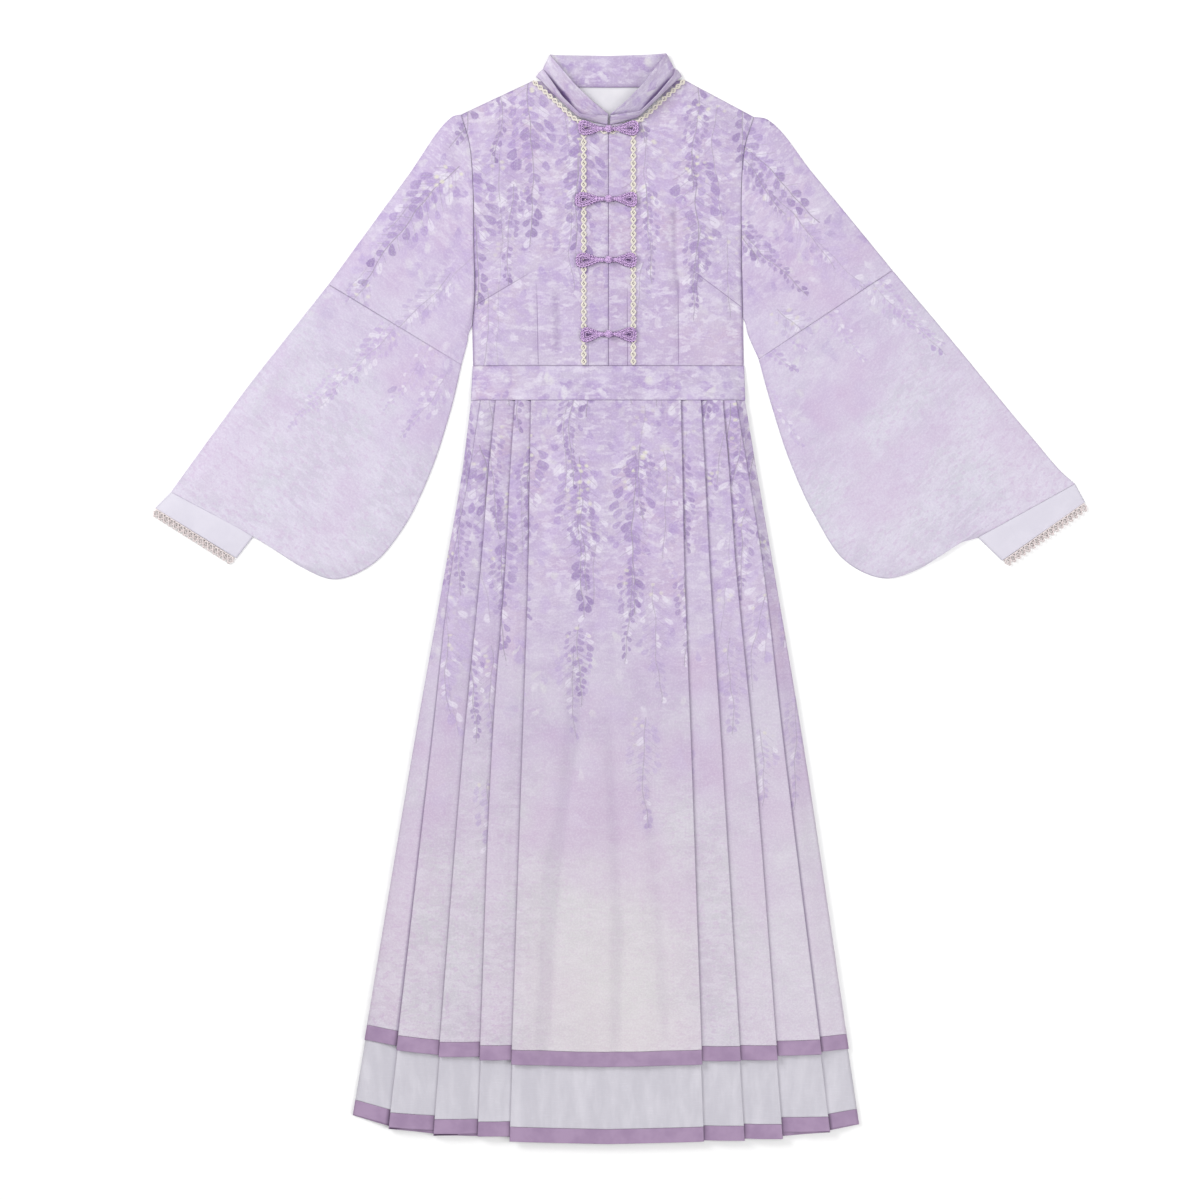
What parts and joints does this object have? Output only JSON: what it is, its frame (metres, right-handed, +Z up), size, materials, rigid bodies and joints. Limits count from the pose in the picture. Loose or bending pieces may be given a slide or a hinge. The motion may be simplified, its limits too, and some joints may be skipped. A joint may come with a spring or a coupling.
{
  "type": "stand-collar dress laid flat",
  "caption": "Long-sleeved full-length dress laid flat, front up, with a double stand collar, frog fastenings, bell sleeves, pleated skirt and a longer organza underskirt.",
  "frame": {"origin": "on the surface that the dress lies on, under the middle of the waistband", "axes": "+Y along the centre front from the waist towards the neck, +X across towards the right of the dress as seen from the front, +Z up from the surface"},
  "size_m": [1.127, 1.308, 0.0175],
  "materials": {
    "print": "satin",
    "pale_print": "satin",
    "cuff_cloth": "satin",
    "facing_cloth": "matte",
    "lace": "matte",
    "frog_cord": "satin",
    "hem_cloth": "satin",
    "organza": "sheer"
  },
  "bodies": {
    "root": {"bodice_back": "print", "neck_facing": "facing_cloth", "collar_inner": "pale_print", "collar_outer": "print", "bodice_front_left": "print", "placket_left": "print", "placket_lace_left": "lace", "neck_lace_left": "lace", "sleeve_upper_left": "print", "sleeve_lower_left": "pale_print", "cuff_left": "cuff_cloth", "cuff_lace_left": "lace", "bodice_front_right": "print", "placket_right": "print", "placket_lace_right": "lace", "neck_lace_right": "lace", "sleeve_upper_right": "print", "sleeve_lower_right": "pale_print", "cuff_right": "cuff_cloth", "cuff_lace_right": "lace", "frog_1_loop": "frog_cord", "frog_1_knot": "frog_cord", "frog_2_loop": "frog_cord", "frog_2_knot": "frog_cord", "frog_3_loop": "frog_cord", "frog_3_knot": "frog_cord", "frog_4_loop": "frog_cord", "frog_4_knot": "frog_cord", "waistband_back": "print", "waistband_front": "print", "skirt_back": "print", "skirt_back_band": "hem_cloth", "skirt_front": "print", "skirt_front_band": "hem_cloth", "underskirt_back": "organza", "underskirt_back_band": "hem_cloth", "underskirt_front": "organza", "underskirt_front_band": "hem_cloth"}
  },
  "joints": []
}
